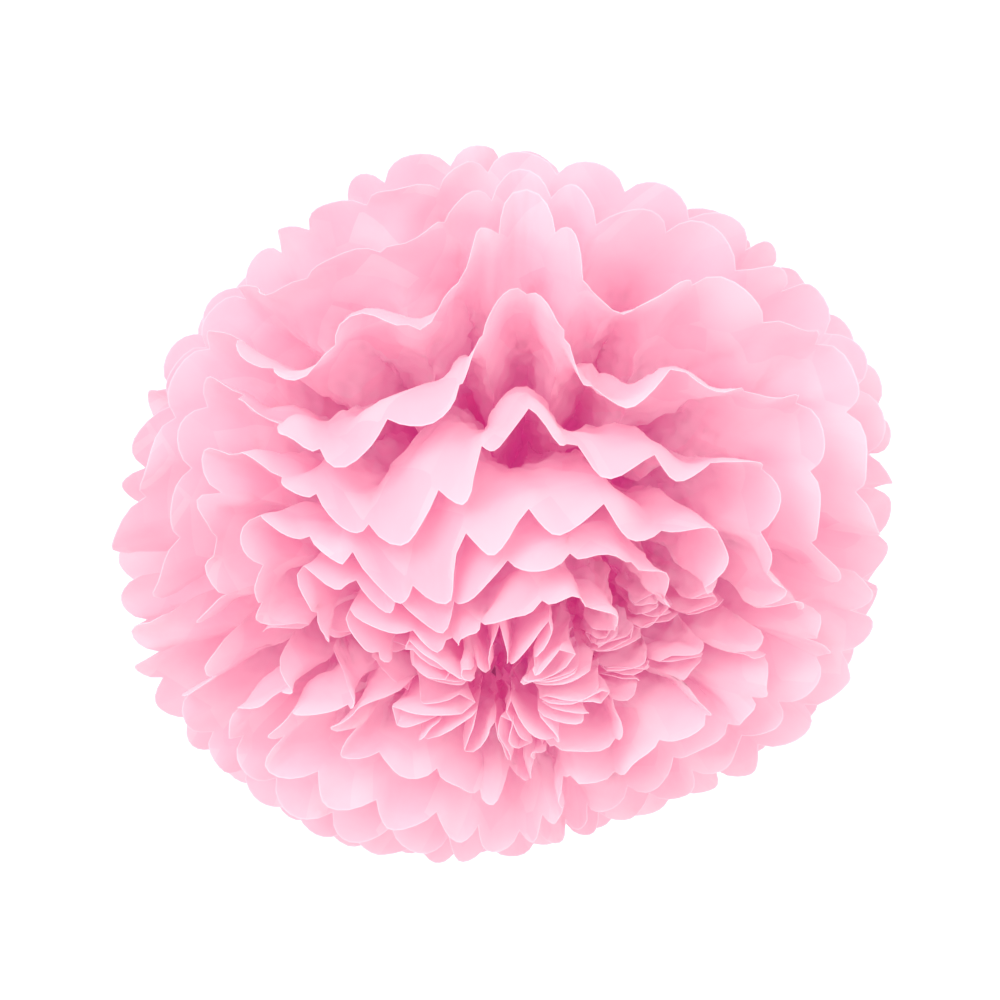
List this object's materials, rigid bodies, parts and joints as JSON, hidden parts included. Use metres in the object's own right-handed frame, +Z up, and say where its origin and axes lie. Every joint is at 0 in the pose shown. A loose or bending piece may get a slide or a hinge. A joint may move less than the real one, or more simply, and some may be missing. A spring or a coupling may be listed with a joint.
{
  "type": "tissue paper pom pom",
  "caption": "Pink tissue paper pom pom: folded sheets with scalloped ends, tied round the middle with wire and opened into a ruffled ball.",
  "frame": {"origin": "the middle of the tie, where the wire holds the stack of sheets", "axes": "+X along the ball's width, -Y towards the front pole that the first sheet points at, +Z up; the folds run up and down from the tie"},
  "size_m": [0.1993, 0.1705, 0.1813],
  "materials": {
    "tissue_sheet_01": "matt tissue paper, slightly translucent",
    "tissue_sheet_02": "matt tissue paper, slightly translucent",
    "tissue_sheet_03": "matt tissue paper, slightly translucent",
    "tissue_sheet_04": "matt tissue paper, slightly translucent",
    "tissue_sheet_05": "matt tissue paper, slightly translucent",
    "tissue_sheet_06": "matt tissue paper, slightly translucent",
    "tissue_sheet_07": "matt tissue paper, slightly translucent",
    "tissue_sheet_08": "matt tissue paper, slightly translucent",
    "tissue_sheet_09": "matt tissue paper, slightly translucent",
    "tissue_sheet_10": "matt tissue paper, slightly translucent",
    "tissue_sheet_11": "matt tissue paper, slightly translucent",
    "tissue_sheet_12": "matt tissue paper, slightly translucent",
    "tissue_sheet_13": "matt tissue paper, slightly translucent",
    "tie_wire": "plain soft wire"
  },
  "bodies": {
    "root": {"tissue_sheet_01": "tissue_sheet_01", "tissue_sheet_02": "tissue_sheet_02", "tissue_sheet_03": "tissue_sheet_03", "tissue_sheet_04": "tissue_sheet_04", "tissue_sheet_05": "tissue_sheet_05", "tissue_sheet_06": "tissue_sheet_06", "tissue_sheet_07": "tissue_sheet_07", "tissue_sheet_08": "tissue_sheet_08", "tissue_sheet_09": "tissue_sheet_09", "tissue_sheet_10": "tissue_sheet_10", "tissue_sheet_11": "tissue_sheet_11", "tissue_sheet_12": "tissue_sheet_12", "tissue_sheet_13": "tissue_sheet_13", "tie_wire": "tie_wire"}
  },
  "joints": []
}
